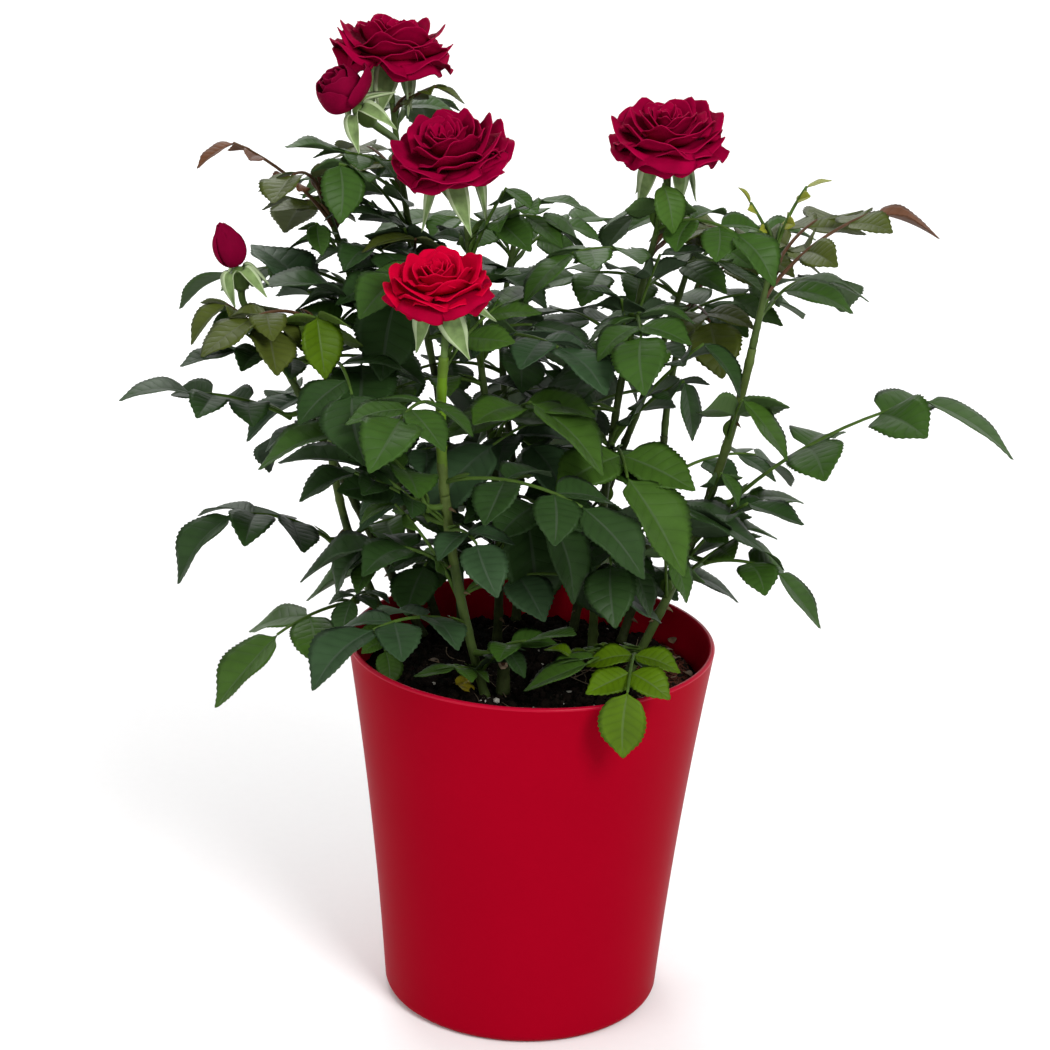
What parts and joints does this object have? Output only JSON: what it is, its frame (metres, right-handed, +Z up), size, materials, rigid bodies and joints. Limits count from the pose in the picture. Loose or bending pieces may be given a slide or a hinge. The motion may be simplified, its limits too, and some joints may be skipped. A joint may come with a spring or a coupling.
{
  "type": "potted rose bush",
  "caption": "Patio rose in a flared round pot: canes rising from compost, leafy shoots and side sprays, open blooms and buds.",
  "frame": {"origin": "middle of the pot's flat underside", "axes": "+Z up along the pot's axis, front towards -Y, +X to the right seen from the front"},
  "size_m": [0.3156, 0.2391, 0.3609],
  "materials": {
    "pot": "satin",
    "compost": "matte",
    "cane": "satin",
    "leaf": "satin",
    "petal": "matte"
  },
  "bodies": {
    "root": {"pot": "pot", "soil": "compost", "stub": "cane", "cane_front": "cane", "cane_left": "cane", "cane_bud": "cane", "cane_centre": "cane", "cane_top": "cane", "cane_tall": "cane", "cane_middle": "cane", "cane_right": "cane", "cane_behind": "cane", "cane_rear": "cane", "cane_flank": "cane", "bloom_top": "petal", "bloom_second": "petal", "bloom_right": "petal", "bloom_front": "petal", "bud_half_open": "petal", "bud_closed": "petal", "spray_far_left": "leaf", "spray_left_droop": "leaf", "spray_left_low": "leaf", "spray_front_left": "leaf", "spray_left_dark": "leaf", "spray_centre_big": "leaf", "spray_centre_low": "leaf", "spray_right_big": "leaf", "spray_right_long": "leaf", "spray_right_low": "leaf", "spray_right_droop": "leaf", "spray_over_rim": "leaf", "spray_low_front": "leaf", "spray_low_left": "leaf", "shoot_front": "leaf", "shoot_left": "leaf", "shoot_bud": "leaf", "shoot_centre": "leaf", "shoot_top": "leaf", "shoot_tall": "leaf", "shoot_middle": "leaf", "shoot_right": "leaf", "shoot_behind": "leaf", "shoot_rear": "leaf", "shoot_flank": "leaf"}
  },
  "joints": []
}
